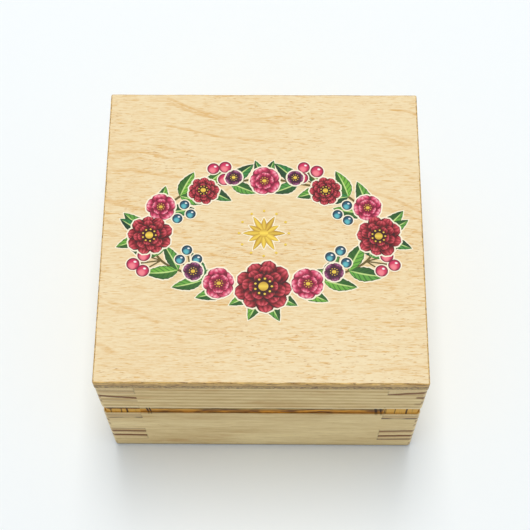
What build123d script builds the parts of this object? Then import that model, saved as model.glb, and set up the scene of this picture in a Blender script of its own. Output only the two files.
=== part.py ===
from build123d import *
import os

# Rosary box: one finger-jointed softwood box, parted into base and lid along a milled groove.
# Millimetres. Origin at the middle of the underside, +Z up, front at -Y, hinges on the back.

# ---------------------------------------------------------------- driving sizes: the wooden box
WIDTH = 85.0  # outside, left to right
DEPTH = 85.0  # outside, front to back
WALL = 10.0  # thickness of every frame board
BASE_HEIGHT = 31.3  # underside to the face where the lid meets the base
LID_FRAME_HEIGHT = 18.0  # that face to the underside of the top panel
TOP_THICKNESS = 4.0  # plywood panel on the lid
BOTTOM_THICKNESS = 3.0  # panel let into the walls from below

CORNER_RADIUS = 1.0  # sanded upright corners
TOP_ROUND = 0.4  # sanded edge of the top panel
FOOT_ROUND = 0.8  # sanded edge where the walls meet the table
EASED_EDGE = 0.25  # broken arris along the groove and round the mouth

FIRST_FINGER = 6.0  # lowest finger, cut on the front and back boards
FINGER = 9.75  # height of every finger above it

GROOVE_OPENING = 4.6  # height of the groove on the face, half in the base and half in the lid
GROOVE_DEPTH = 0.5

RABBET_LEDGE = 4.0  # how far the bottom panel reaches under each wall
RABBET_CORNER = 4.0  # the cutter leaves the rabbet's corners this round
PANEL_FIT = 0.1  # gap round the bottom panel

# ---------------------------------------------------------------- driving sizes: the hinges
HINGE_SPACING = 42.0  # middle of one hinge to the middle of the other
HINGE_LENGTH = 18.0
KNUCKLES = 3  # along each hinge; the base leaf has the odd ones
KNUCKLE_GAP = 0.15  # between neighbouring knuckles, and round them where the other leaf is cut back
SHEET = 0.7  # metal that the leaves are rolled from
PIN_RADIUS = 0.85
PIN_CLEARANCE = 0.05
PIN_END = 0.35  # how far the bevelled ends of the pin stand out
ROLL_SLIT = 0.3  # left open between the rolled end and the leaf
LEAF_REACH = 8.0  # pin axis to the far edge of a leaf
LEAF_CORNER = 1.2

NAIL_SPACING = 11.0  # between the two nails of a leaf
NAIL_ROW = 5.0  # pin axis to the row of nails
NAIL_RADIUS = 0.6
NAIL_LENGTH = 8.0  # under the head
NAIL_POINT = 1.0  # length of the point
NAIL_HEAD_RADIUS = 1.2  # at the leaf
NAIL_HEAD_TOP = 0.8  # radius of the flat on top, so the head tapers
NAIL_HEAD_HEIGHT = 0.4
LEAF_HOLE_CLEARANCE = 0.05
PILOT_CLEARANCE = 0.02

SAME = 1e-4  # heights this near are one height

# ---------------------------------------------------------------- sizes that follow
FRAME_HEIGHT = BASE_HEIGHT + LID_FRAME_HEIGHT
INSIDE_WIDTH = WIDTH - 2 * WALL
INSIDE_DEPTH = DEPTH - 2 * WALL
GROOVE_LOW = BASE_HEIGHT - GROOVE_OPENING / 2
GROOVE_HIGH = BASE_HEIGHT + GROOVE_OPENING / 2
BARREL_INSIDE = PIN_RADIUS + PIN_CLEARANCE
BARREL_RADIUS = BARREL_INSIDE + SHEET
PIN_Y = DEPTH / 2 + BARREL_RADIUS  # the leaves lie flat on the back and the barrel touches its plane
NAIL_SEAT_Y = DEPTH / 2 + SHEET


# ---------------------------------------------------------------- the wooden box
def slab(width, depth, corner, low, high):
    """A plate with rounded upright corners, between two heights."""
    return extrude(Pos(0, 0, low) * RectangleRounded(width, depth, corner), high - low)


def loop_at(solid, height):
    """The level edges of a solid at one height."""
    return solid.edges().filter_by_position(Axis.Z, height - SAME, height + SAME)


def block(low, high):
    """The outside of the box between two heights, before anything is cut from it."""
    return slab(WIDTH, DEPTH, CORNER_RADIUS, low, high)


def groove_neck(low, high):
    """The wood that is left behind the groove."""
    return slab(WIDTH - 2 * GROOVE_DEPTH, DEPTH - 2 * GROOVE_DEPTH, CORNER_RADIUS, low, high)


def hollow(outside, low, high):
    """Cuts the inside out of the box and eases the arris round its mouth, where lid and base meet."""
    core = Pos(0, 0, (low + high) / 2) * Box(INSIDE_WIDTH, INSIDE_DEPTH, high - low)
    walls = outside - core
    mouth = [
        edge
        for edge in loop_at(walls, BASE_HEIGHT)
        if abs(edge.center().X) <= INSIDE_WIDTH / 2 + EASED_EDGE
        and abs(edge.center().Y) <= INSIDE_DEPTH / 2 + EASED_EDGE
    ]
    return chamfer(mouth, EASED_EDGE)


def base_frame():
    """The base's four walls in one, with the rabbet for the bottom panel and the hinges' pilot holes."""
    outside = block(0, GROOVE_LOW)
    outside = fillet(loop_at(outside, 0), FOOT_ROUND)
    outside = chamfer(loop_at(outside, GROOVE_LOW), EASED_EDGE)
    walls = hollow(outside + groove_neck(GROOVE_LOW, BASE_HEIGHT), 0, BASE_HEIGHT)
    rabbet = slab(
        INSIDE_WIDTH + 2 * RABBET_LEDGE, INSIDE_DEPTH + 2 * RABBET_LEDGE, RABBET_CORNER, 0, BOTTOM_THICKNESS
    )
    return walls - rabbet - pilot_holes("base")


def lid_frame():
    """The lid's four rails in one, under the top panel."""
    outside = block(GROOVE_HIGH, FRAME_HEIGHT)
    outside = chamfer(loop_at(outside, GROOVE_HIGH), EASED_EDGE)
    rails = hollow(outside + groove_neck(BASE_HEIGHT, GROOVE_HIGH), BASE_HEIGHT, FRAME_HEIGHT)
    return rails - pilot_holes("lid")


def fingers():
    """(low, high, pair) of every finger from the foot up, where pair is the two boards that reach the corner."""
    heights = [0.0, FIRST_FINGER]
    while heights[-1] + FINGER < FRAME_HEIGHT:
        heights.append(heights[-1] + FINGER)
    heights.append(FRAME_HEIGHT)
    pairs = ("front_back", "left_right")
    return [(low, high, pairs[i % 2]) for i, (low, high) in enumerate(zip(heights, heights[1:]))]


def board_space(side):
    """The space of one board: as long as the box at its own fingers, and between its neighbours elsewhere."""
    front_back = side in ("front", "back")
    own_pair = "front_back" if front_back else "left_right"
    full = WIDTH if front_back else DEPTH
    bars = []
    for low, high, pair in fingers():
        length = full if pair == own_pair else full - 2 * WALL
        size = (length, WALL, high - low) if front_back else (WALL, length, high - low)
        bars.append(Pos(0, 0, (low + high) / 2) * Box(*size))
    out = -1 if side in ("front", "left") else 1
    shift = (0, out * (DEPTH - WALL) / 2) if front_back else (out * (WIDTH - WALL) / 2, 0)
    return Pos(*shift, 0) * bars[0].fuse(*bars[1:]).clean()


def boards(walls, prefix, kind):
    """Parts a frame into its four finger-jointed boards. The fingers run on across the cut between lid and base."""
    return {f"{prefix}_{side}_{kind}": walls & board_space(side) for side in ("front", "back", "left", "right")}


def top_panel():
    """The plywood panel glued on the lid, its upper edge sanded round."""
    top = FRAME_HEIGHT + TOP_THICKNESS
    return fillet(loop_at(block(FRAME_HEIGHT, top), top), TOP_ROUND)


def bottom_panel():
    """The panel in the rabbet, flush with the foot of the walls."""
    reach = 2 * RABBET_LEDGE - 2 * PANEL_FIT
    return slab(INSIDE_WIDTH + reach, INSIDE_DEPTH + reach, RABBET_CORNER - PANEL_FIT, 0, BOTTOM_THICKNESS)


# ---------------------------------------------------------------- the hinges, each about its own pin
def hinge_places():
    """The middle of each hinge's pin."""
    return {
        "left_hinge": Pos(-HINGE_SPACING / 2, PIN_Y, BASE_HEIGHT),
        "right_hinge": Pos(HINGE_SPACING / 2, PIN_Y, BASE_HEIGHT),
    }


def knuckle_spans(leaf_of):
    """(from, to) along the pin of each knuckle of one leaf."""
    pitch = HINGE_LENGTH / KNUCKLES
    first = 0 if leaf_of == "base" else 1
    starts = [i * pitch - HINGE_LENGTH / 2 for i in range(first, KNUCKLES, 2)]
    return [(start + KNUCKLE_GAP / 2, start + pitch - KNUCKLE_GAP / 2) for start in starts]


def rolled_knuckle(start, end):
    """Sheet rolled round the pin: down the wood, under and round the outside, back to a slit above the leaf.
    The section's first axis points away from the wood and its second up the lid's leaf."""
    ring = Circle(BARREL_RADIUS) - Circle(BARREL_INSIDE)
    slit_end = ROLL_SLIT - BARREL_INSIDE
    beyond_slit = Pos((slit_end - BARREL_RADIUS) / 2, BARREL_RADIUS / 2) * Rectangle(
        slit_end + BARREL_RADIUS, BARREL_RADIUS
    )
    foot = Pos(SHEET / 2 - BARREL_RADIUS, BARREL_RADIUS / 2) * Rectangle(SHEET, BARREL_RADIUS)
    return extrude(Plane.YZ.offset(start) * (ring - beyond_slit + foot), end - start)


def leaf_plate(cut_back_for):
    """The flat of a leaf, reaching up from the pin, cut back round the other leaf's knuckles."""
    outline = Pos(0, LEAF_REACH / 2) * Rectangle(HINGE_LENGTH, LEAF_REACH)
    outline = fillet(outline.vertices().sort_by(Axis.Y)[-2:], LEAF_CORNER)
    for x in (-NAIL_SPACING / 2, NAIL_SPACING / 2):
        outline -= Pos(x, NAIL_ROW) * Circle(NAIL_RADIUS + LEAF_HOLE_CLEARANCE)
    plate = extrude(Plane.XZ.offset(BARREL_INSIDE) * outline, SHEET)
    for start, end in knuckle_spans(cut_back_for):
        room = Box(end - start + 2 * KNUCKLE_GAP, 2 * BARREL_RADIUS, 2 * (BARREL_RADIUS + KNUCKLE_GAP))
        plate -= Pos((start + end) / 2, -BARREL_RADIUS, 0) * room
    return plate


def leaf(leaf_of):
    """One leaf with its knuckles. The base's is rolled the same way and turned over."""
    plate = leaf_plate("lid" if leaf_of == "base" else "base")
    whole = plate.fuse(*[rolled_knuckle(*span) for span in knuckle_spans(leaf_of)]).clean()
    return whole if leaf_of == "lid" else mirror(whole, Plane.XY)


def hinge_pin():
    """The pin through all the knuckles, with bevelled ends."""
    pin = Rot(0, 90, 0) * Cylinder(PIN_RADIUS, HINGE_LENGTH + 2 * PIN_END)
    return chamfer(pin.edges().filter_by(GeomType.CIRCLE), PIN_END)


# ---------------------------------------------------------------- the nails
def nail():
    """A small hinge nail, its tapered head above the origin and its point straight below."""
    head = Pos(0, 0, NAIL_HEAD_HEIGHT / 2) * Cone(NAIL_HEAD_RADIUS, NAIL_HEAD_TOP, NAIL_HEAD_HEIGHT)
    straight = NAIL_LENGTH - NAIL_POINT
    shank = Pos(0, 0, -straight / 2) * Cylinder(NAIL_RADIUS, straight)
    point = Pos(0, 0, -straight - NAIL_POINT / 2) * Cone(0, NAIL_RADIUS, NAIL_POINT)
    return head + shank + point


def nail_places(leaf_of, hinge):
    """Where the two nails of one leaf are driven: heads on the leaf, points towards the front."""
    pin = hinge.position
    row = pin.Z + (NAIL_ROW if leaf_of == "lid" else -NAIL_ROW)
    return [
        Pos(pin.X + x, NAIL_SEAT_Y, row) * Rot(-90, 0, 0) for x in (-NAIL_SPACING / 2, NAIL_SPACING / 2)
    ]


def pilot_holes(leaf_of):
    """The drilled holes that the nails of both hinges need in the lid's or the base's back board."""
    depth = NAIL_LENGTH + PILOT_CLEARANCE
    hole = Pos(0, 0, -depth / 2) * Cylinder(NAIL_RADIUS + PILOT_CLEARANCE, depth)
    return [place * hole for hinge in hinge_places().values() for place in nail_places(leaf_of, hinge)]


# ---------------------------------------------------------------- the whole box
def build():
    """Every piece by name."""
    pieces = {"lid_top_panel": top_panel(), "bottom_panel": bottom_panel()}
    pieces.update(boards(lid_frame(), "lid", "rail"))
    pieces.update(boards(base_frame(), "base", "wall"))
    for name, place in hinge_places().items():
        pieces[f"{name}_pin"] = place * hinge_pin()
        for leaf_of in ("base", "lid"):
            pieces[f"{name}_{leaf_of}_leaf"] = place * leaf(leaf_of)
            pieces[f"{name}_{leaf_of}_nails"] = Compound([spot * nail() for spot in nail_places(leaf_of, place)])
    return pieces


os.makedirs("parts", exist_ok=True)
for name, piece in build().items():
    export_step(piece, f"parts/{name}.step")
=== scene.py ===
# %% [markdown]
# # A little box for a rosary
# This script dresses a finished model of a small wooden keepsake box. The wood, the hinges and the nails already
# exist as exact solids. Here they get their looks: grain, end grain, glue lines, a burnt groove, brass, and a
# painted wreath on the lid. Everything is in metres and stands where the box stands, its underside at height zero.

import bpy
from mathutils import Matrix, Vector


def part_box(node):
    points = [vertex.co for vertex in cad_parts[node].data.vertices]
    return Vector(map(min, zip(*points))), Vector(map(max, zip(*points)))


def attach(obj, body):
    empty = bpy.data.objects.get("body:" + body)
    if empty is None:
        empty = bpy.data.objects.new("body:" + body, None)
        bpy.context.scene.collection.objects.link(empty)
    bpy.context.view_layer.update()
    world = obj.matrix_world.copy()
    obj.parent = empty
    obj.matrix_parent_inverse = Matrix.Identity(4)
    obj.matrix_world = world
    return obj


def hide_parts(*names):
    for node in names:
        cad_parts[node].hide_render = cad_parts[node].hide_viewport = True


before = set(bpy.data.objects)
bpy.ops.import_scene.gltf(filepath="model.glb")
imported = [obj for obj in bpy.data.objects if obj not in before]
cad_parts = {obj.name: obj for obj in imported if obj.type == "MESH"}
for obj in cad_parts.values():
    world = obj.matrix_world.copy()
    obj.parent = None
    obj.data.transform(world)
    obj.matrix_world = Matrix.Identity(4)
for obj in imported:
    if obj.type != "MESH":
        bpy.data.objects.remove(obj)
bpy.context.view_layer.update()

import math

import bpy
import numpy as np

# %% [markdown]
# ## Sizes that the looks need
# Every pattern below works in millimetres. Most sizes are read from the pieces themselves, so that a pattern stays on
# the edge that it belongs to. The fingers at the corners start 6 mm up and are 9.75 mm high, and every second one
# belongs to the boards at the sides.

# %% Sizes in millimetres
MM = 0.001
HALF_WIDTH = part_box("lid_top_panel")[1].x / MM
WALL = HALF_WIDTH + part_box("base_front_wall")[1].y / MM
PANEL_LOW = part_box("lid_top_panel")[0].z / MM
LID_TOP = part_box("lid_top_panel")[1].z / MM
PANEL_THICKNESS = LID_TOP - PANEL_LOW
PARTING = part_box("base_front_wall")[1].z / MM
INSIDE = HALF_WIDTH - WALL
FIRST_FINGER = 6.0
FINGER = 9.75
GROOVE_HALF = 2.3
BOTTOM_LOW = 0.0
GROOVE_LOW, GROOVE_HIGH = PARTING - GROOVE_HALF, PARTING + GROOVE_HALF
print("half width", HALF_WIDTH, "wall", WALL, "parting", PARTING, "lid top", LID_TOP)

# %% [markdown]
# ## The camera
# The box was photographed from above and in front, with a fairly long lens. The place and the turn come from
# matching the box's own corners.

# %% Camera
CAMERA_PLACE = (4.03, -149.04, 358.27)
CAMERA_TURN = (24.557, 0.398, 0.47)
LENS, SENSOR = 87.1, 36.0

camera_data = bpy.data.cameras.new("camera")
camera_data.lens = LENS
camera_data.sensor_width = SENSOR
camera_data.clip_start = 0.01
camera = bpy.data.objects.new("camera", camera_data)
camera.location = [v * MM for v in CAMERA_PLACE]
camera.rotation_euler = [math.radians(v) for v in CAMERA_TURN]
bpy.context.scene.collection.objects.link(camera)
bpy.context.scene.camera = camera
print("camera", camera.location[:])

# %% [markdown]
# ## Shader sums written as sums
# A material in Blender is a net of nodes. This small class wraps one output of a node, so that `a * 2 + b` adds the
# Math nodes by itself. Anything else, such as a noise, comes from its `add`.

# %% The Wire class
class Wire:
    """One output in a material's net. + - * / and abs() add Math nodes, and add() adds any other node."""

    def __init__(self, tree, socket=None):
        self.tree = tree
        self.socket = socket

    def add(self, kind, settings=None, sockets=None, out=0):
        """Adds a node, makes its settings, then fills its sockets with numbers or wires, and gives one output."""
        made = self.tree.nodes.new(kind)
        for key, value in (settings or {}).items():
            setattr(made, key, value)
        for key, value in (sockets or {}).items():
            if isinstance(value, Wire):
                self.tree.links.new(value.socket, made.inputs[key])
            else:
                made.inputs[key].default_value = value
        return Wire(self.tree, made.outputs[out])

    def sum(self, operation, *values, clamp=False):
        return self.add("ShaderNodeMath", {"operation": operation, "use_clamp": clamp}, dict(enumerate(values)))

    def __add__(self, other):
        return self.sum("ADD", self, other)

    __radd__ = __add__

    def __sub__(self, other):
        return self.sum("SUBTRACT", self, other)

    def __rsub__(self, other):
        return self.sum("SUBTRACT", other, self)

    def __mul__(self, other):
        return self.sum("MULTIPLY", self, other)

    __rmul__ = __mul__

    def __truediv__(self, other):
        return self.sum("DIVIDE", self, other)

    def __abs__(self):
        return self.sum("ABSOLUTE", self)

    def clip(self):
        """Kept between 0 and 1."""
        return self.sum("ADD", self, 0.0, clamp=True)

    def fraction(self):
        return self.sum("FRACT", self)

    def sine(self):
        return self.sum("SINE", self)

    def most(self, other):
        return self.sum("MAXIMUM", self, other)

    def rise(self, low, high):
        """0 up to low, 1 from high on, and a smooth slope between."""
        sockets = {"Value": self, "From Min": low, "From Max": high}
        return self.add("ShaderNodeMapRange", {"interpolation_type": "SMOOTHSTEP"}, sockets)

    def near(self, place, reach):
        """1 at a value, falling to 0 at a distance of reach from it."""
        return 1 - abs(self - place).rise(0.35 * reach, reach)

    def times(self, by):
        """A vector or a colour made longer or shorter, by one number or by one for each axis."""
        if isinstance(by, tuple):
            return self.add("ShaderNodeVectorMath", {"operation": "MULTIPLY"}, {0: self, 1: by})
        return self.add("ShaderNodeVectorMath", {"operation": "SCALE"}, {0: self, "Scale": by})

    def parts(self):
        """The three numbers of a vector."""
        return [self.add("ShaderNodeSeparateXYZ", sockets={0: self}, out=i) for i in range(3)]

    def noise(self, stretch, detail=2.0, roughness=0.5):
        """Cloudy random values from 0 to 1. stretch is how many clouds fit in one unit along each axis."""
        sockets = {"Vector": self.times(stretch), "Scale": 1.0, "Detail": detail, "Roughness": roughness}
        return self.add("ShaderNodeTexNoise", {"noise_dimensions": "3D"}, sockets)

    def values(self, at_zero, at_one):
        """A number that goes from one to another as this value goes from 0 to 1."""
        return self.add("ShaderNodeMix", {"data_type": "FLOAT"}, {0: self, 2: at_zero, 3: at_one})

    def colour(self, at_zero, at_one):
        """The same for two colours."""
        return self.add("ShaderNodeMix", {"data_type": "RGBA"}, {0: self, 6: at_zero, 7: at_one}, out=2)


# %% [markdown]
# Colours are written as a paint program shows them, from 0 to 255. Blender's shaders want light itself, so
# `rgb` undoes the curve of the screen.

# %% Colours, materials and pieces
def rgb(red, green, blue):
    light = [((v / 255 + 0.055) / 1.055) ** 2.4 if v > 10 else v / 255 / 12.92 for v in (red, green, blue)]
    return (*light, 1.0)


def finish(name, paint, *about):
    """A new material whose shader takes every value or wire that paint returns."""
    material = bpy.data.materials.new(name)
    material.use_nodes = True
    tree = material.node_tree
    shader = tree.nodes["Principled BSDF"]
    for key, value in paint(Wire(tree), *about).items():
        if isinstance(value, Wire):
            tree.links.new(value.socket, shader.inputs[key])
        else:
            shader.inputs[key].default_value = value
    print("material", name, "with", len(tree.nodes), "nodes")
    return material


def place_in_mm(wire):
    """Where a point lies on the box, in millimetres. It stays with the wood when the lid swings."""
    return wire.add("ShaderNodeTexCoord", out="Object").times(1 / MM)


def bump(wire, height, strength, depth):
    """A small relief: height is 0 to 1, depth its size in millimetres."""
    return wire.add("ShaderNodeBump", sockets={"Strength": strength, "Distance": depth * MM, "Height": height})


def new_piece(name, parts):
    """One object from several sets of points and faces, in millimetres."""
    points, faces, used = [], [], 0
    for some_points, some_faces in parts:
        points.append(some_points)
        faces += [[corner + used for corner in face] for face in some_faces]
        used += len(some_points)
    mesh = bpy.data.meshes.new(name)
    mesh.from_pydata((np.concatenate(points) * MM).tolist(), [], faces)
    piece = bpy.data.objects.new(name, mesh)
    bpy.context.scene.collection.objects.link(piece)
    return piece


print("colours, materials and pieces can be made")

# %% [markdown]
# ## The floor and the light
# The box stands on a white table under one big soft lamp that hangs above and a little behind it. So the lid is
# bright, the front is about half as bright, and a soft shadow lies before the box. The sky adds a little light from
# all sides, but rays that see it directly, or in the brass, find it white. Far from the box the table fades into the
# same white, so that no horizon shows from low down.

# %% Floor, lamp and sky
FLOOR_WHITE = rgb(245, 247, 247)
LAMP_PLACE = (0.0, 240.0, 1250.0)
LAMP_WIDE, LAMP_DEEP = 420.0, 850.0
LAMP_POWER = 10.3
LAMP_COLOUR = (1.0, 0.985, 0.965)
SKY_STRENGTH = 0.475
SKY_COLOUR = (0.92, 1.0, 1.075, 1.0)
TABLE_RADIUS = 5000.0
FADE_FROM, FADE_TO = 330.0, 900.0


def table_paint(wire):
    """White card, which the camera sees as plain white light far from the box."""
    place = place_in_mm(wire)
    mottle = place.noise((0.006, 0.006, 0.006))
    distance = place.add("ShaderNodeVectorMath", {"operation": "LENGTH"}, {0: place}, out="Value")
    far = distance.rise(FADE_FROM, FADE_TO) * wire.add("ShaderNodeLightPath", out="Is Camera Ray")
    glow = wire.add("ShaderNodeEmission", sockets={"Color": FLOOR_WHITE, "Strength": 1.0})
    shader = Wire(wire.tree, wire.tree.nodes["Principled BSDF"].outputs[0])
    output = wire.tree.nodes["Material Output"].inputs["Surface"]
    wire.tree.links.new(wire.add("ShaderNodeMixShader", sockets={0: far, 1: shader, 2: glow}).socket, output)
    return {
        "Base Color": (mottle * 0.5).colour(FLOOR_WHITE, rgb(241, 245, 245)),
        "Roughness": 0.55 + mottle * 0.1,
        "Specular IOR Level": 0.2,
    }


angles = np.linspace(0, 2 * math.pi, 96, endpoint=False)
table_rim = TABLE_RADIUS * np.column_stack([np.cos(angles), np.sin(angles), 0 * angles])
table_top = new_piece("table_top", [(table_rim, [list(range(len(angles)))])])
table_top.data.materials.append(finish("white table", table_paint))

lamp_data = bpy.data.lights.new("soft lamp", "AREA")
lamp_data.shape = "RECTANGLE"
lamp_data.size = LAMP_WIDE * MM
lamp_data.size_y = LAMP_DEEP * MM
lamp_data.color = LAMP_COLOUR
lamp_data.energy = LAMP_POWER
lamp = bpy.data.objects.new("soft lamp", lamp_data)
lamp.location = [v * MM for v in LAMP_PLACE]
lamp.rotation_euler = (-math.atan2(LAMP_PLACE[1], LAMP_PLACE[2]), 0, 0)
bpy.context.scene.collection.objects.link(lamp)

world = bpy.data.worlds.new("sky")
world.use_nodes = True
bpy.context.scene.world = world
sky = Wire(world.node_tree)
rays = [sky.add("ShaderNodeLightPath", out=f"Is {kind} Ray") for kind in ("Camera", "Glossy", "Transmission")]
soft = sky.add("ShaderNodeBackground", sockets={"Color": SKY_COLOUR, "Strength": SKY_STRENGTH})
white = sky.add("ShaderNodeBackground", sockets={"Color": FLOOR_WHITE, "Strength": 1.0})
seen = rays[0].most(rays[1]).most(rays[2])
shown = sky.add("ShaderNodeMixShader", sockets={0: seen, 1: soft, 2: white})
world.node_tree.links.new(shown.socket, world.node_tree.nodes["World Output"].inputs["Surface"])
bpy.context.scene.view_settings.view_transform = "Standard"
print("table, lamp and sky ready")

# %% [markdown]
# ## Pine for the frame
# A board is a slice of a tree, so its pattern is worked out inside the solid. It could be an image, but an image
# stops at the edges, and here the same rings have to come out on every face. A point is named by its board's own
# directions: along the grain, across it and up.

# %% A point on its board
class Board:
    """Where the painted point lies on one side's boards, in millimetres."""

    def __init__(self, wire, side):
        self.side = side
        self.place = place_in_mm(wire)
        self.x, self.y, self.z = self.place.parts()
        self.along, self.across = (self.x, self.y) if side in ("front", "back") else (self.y, self.x)
        self.out_along, self.out_across = abs(self.along), abs(self.across)
        self.end = self.out_along.rise(HALF_WIDTH - 1.1, HALF_WIDTH - 0.6)
        self.furthest = self.out_along.most(self.out_across)
        self.skin = self.furthest.rise(HALF_WIDTH - 1.0, HALF_WIDTH - 0.8)
        self.at_left = 1 - self.x.rise(-INSIDE, 0.3 - INSIDE)

    def noise(self, along, across, up, **more):
        """Noise with its own fineness along the grain, across it and up."""
        stretch = (along, across, up) if self.side in ("front", "back") else (across, along, up)
        return self.place.noise(stretch, **more)


print("boards ready")

# %% [markdown]
# A face along the grain shows fibres, broad tones, soft clouds, short brown flecks and resin ducts. The year rings
# are near-level sheets 2.35 mm apart, stronger in the lid than in the base.

# %% Long grain
RING = 2.35
LONG_PALE, LONG_DARK = rgb(246, 221, 164), rgb(198, 161, 98)
KNOT_BROWN, FLECK_BROWN, DUCT_BROWN = rgb(206, 152, 92), rgb(176, 122, 64), rgb(168, 122, 70)


def long_grain(board, phase):
    """The colour of a face along the grain, with the fibre, hair, tone and late wood that other steps use."""
    z = board.z
    drift = board.noise(0.012, 0.05, 0.05, detail=1.0)
    fibre = board.noise(0.16, 3.0, 3.0, detail=4.0, roughness=0.7)
    hair = board.noise(0.3, 7.5, 7.5, roughness=0.6)
    tone = board.noise(0.02, 0.10, 0.14)
    cloud = board.noise(0.07, 0.2, 0.3, detail=3.0, roughness=0.6)
    year = ((z + board.across * 0.06 + drift * 3.0 + phase) / RING).fraction()
    late = year.rise(0.3, 0.8) * (1 - year.rise(0.88, 1.0))
    strength = (z.rise(30.0, 35.0) * 0.8 + 0.14) * (tone * 0.9 + 0.5)
    grain = late * strength * 0.5 + (fibre - 0.5) * 1.0 + (hair - 0.5) * 0.8 + 0.34
    grain = grain + (tone - 0.5) * 0.8 + (cloud - 0.5) * 1.0
    wood = grain.clip().colour(LONG_PALE, LONG_DARK)
    wood = (cloud.rise(0.62, 0.74) * 0.35).colour(wood, KNOT_BROWN)
    flecks = board.noise(0.9, 1.6, 1.6, detail=1.0).rise(0.71, 0.78) * 0.5
    wood = flecks.colour(wood, FLECK_BROWN)
    ducts = board.noise(0.22, 4.2, 4.2, detail=1.0).rise(0.68, 0.78) * 0.45
    return ducts.colour(wood, DUCT_BROWN), fibre, hair, tone, late


print("year rings every", RING, "mm")

# %% [markdown]
# The ends of the boards show as fingers at the corners: the same rings as a few dark lines in a denser, duller wood.
# Each line is given by its height at the finger's inner side, its height at the corner and its strength. The front
# board also has two short drying cracks at each end.

# %% End grain
END_PALE, END_DARK = rgb(244, 219, 164), rgb(205, 168, 107)
LINE_BROWN, SOFT_LINE_BROWN = rgb(116, 62, 2), rgb(168, 116, 56)
RINGS = {
    "front": [(2.6, 2.9, 0.6), (19.2, 19.9, 0.7), (22.6, 23.4, 0.9), (38.4, 39.3, 0.7), (41.9, 42.6, 0.9)],
    "back": [(3.4, 3.1, 0.7), (17.8, 18.3, 0.8), (21.2, 21.9, 0.7), (37.5, 38.4, 0.9), (42.8, 43.3, 0.6)],
    "left": [(9.3, 9.8, 1.0), (13.1, 13.4, 0.9), (15.3, 15.6, 0.35), (27.5, 27.8, 0.4), (47.0, 47.6, 0.35)],
    "right": [(6.3, 6.9, 0.75), (9.5, 10.2, 1.0), (13.8, 14.6, 0.8), (45.2, 47.1, 0.9), (27.4, 27.6, 0.3)],
}
CRACKS_LEFT = [(41.7, 43.6, 0.95), (39.3, 40.2, 0.3)]
CRACKS_RIGHT = [(43.0, 43.0, 0.8), (37.4, 38.0, 0.4)]


def marks(z, toward_corner, wobble, lines):
    """Thin lines whose height changes evenly from the inner height to the outer one."""
    share = (toward_corner - INSIDE) / WALL
    drawn = 0.0 * z
    for inner, outer, strength in lines:
        off = abs(z + wobble - (share * (outer - inner) + inner))
        drawn = drawn.most((1 - off.rise(0.4, 1.0)) * strength)
    return drawn


def end_grain(board, tone):
    """The colour of a board's end, its dark lines and the wobble that they follow."""
    wobble = (board.noise(0.4, 0.25, 0.1) - 0.5) * 0.7
    rings = RINGS[board.side]
    paler = [(inner - 1.1, outer - 1.0, 0.3) for inner, outer, _ in rings]
    line = marks(board.z, board.out_across, wobble, rings)
    soft_line = marks(board.z, board.out_across, wobble * 1.4, paler)
    pores = board.noise(2.6, 2.6, 2.6, roughness=0.7)
    wood = ((pores - 0.5) * 0.9 + (tone - 0.5) * 0.6 + 0.36).clip().colour(END_PALE, END_DARK)
    return line.colour(soft_line.colour(wood, SOFT_LINE_BROWN), LINE_BROWN), line, wobble


def cracked(board, wood, wobble):
    """The front board's drying cracks."""
    at_right = board.x.rise(39.6, 40.4)
    crack = marks(board.z, board.out_along, wobble, CRACKS_LEFT) * board.at_left
    crack = crack.most(marks(board.z, board.out_along, wobble, CRACKS_RIGHT) * at_right)
    return crack.colour(wood, LINE_BROWN)


print("ring lines on the ends of", len(RINGS), "sides")

# %% [markdown]
# A thin dark glue line runs round every finger, and one joint has opened a little and shows darker. The lines could
# be cut into the wood, but they are a tenth of a millimetre wide, so they are painted.

# %% Glue lines
OPEN_JOINT = 25.5
GLUE_BROWN = rgb(74, 50, 34)


def glue_lines(board):
    """1 on the lines round the fingers and less away from them."""
    z = board.z
    finger = (z - FIRST_FINGER) / FINGER
    off_joint = abs((finger + 0.5).fraction() - 0.5) * FINGER
    side_band = 1 - ((z - FIRST_FINGER) / (2 * FINGER)).fraction().rise(0.49, 0.51)
    others = side_band if board.side in ("front", "back") else 1 - side_band
    patchy = board.noise(0.16, 0.16, 0.5).rise(0.38, 0.56)
    opened = z.near(OPEN_JOINT, 1.0) * (patchy * 0.8 + 0.2)
    level = (1 - off_joint.rise(0.1, 0.34)) * patchy * 0.22 + (1 - off_joint.rise(0.25, 0.7)) * opened * 0.95
    level = level * board.out_along.rise(INSIDE - 0.3, INSIDE - 0.1)
    upright = board.out_along.near(INSIDE, 0.3) * others + board.out_across.near(INSIDE, 0.3) * board.end
    return (level + upright * (patchy * 0.2 + 0.04)).clip()


print("open joint at", OPEN_JOINT, "mm")

# %% [markdown]
# The groove round the box is partly scorched wood and partly painted shade: dull brown in the lid's half, painted
# as the shade under the lid's overhang, orange brown in the base's half, painted as warm light bounced in the gap,
# and golden with burnt streaks where it crosses end grain. At the left end a painted shadow lies under the lid's lip,
# and the up-facing ledge at the groove's foot is painted lighter. Small dark nicks are painted at a few places in it.

# %% The groove: scorch and painted shade
# Painted shade: each pair mixes scorched wood with shade, dull under the lid's overhang and orange in the gap.
BASE_SCORCH_AND_SHADE = rgb(226, 152, 30), rgb(96, 48, 0)
LID_SCORCH_AND_SHADE = rgb(192, 156, 88), rgb(92, 62, 24)
# The third colour here is a painted shadow under the lid's lip.
GOLD, BURNT_STREAK, LIP_SHADOW_BROWN, LIT_LEDGE_TAN = rgb(226, 170, 68), rgb(76, 40, 8), rgb(84, 40, 0), rgb(186, 148, 92)
NICK_BROWN = rgb(54, 26, 4)
# The nicks: place along the board and reach.
NICKS = [(-33.0, 0.4), (-30.6, 0.35), (-29.9, 0.3), (30.4, 0.55), (31.7, 0.4)]


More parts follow.
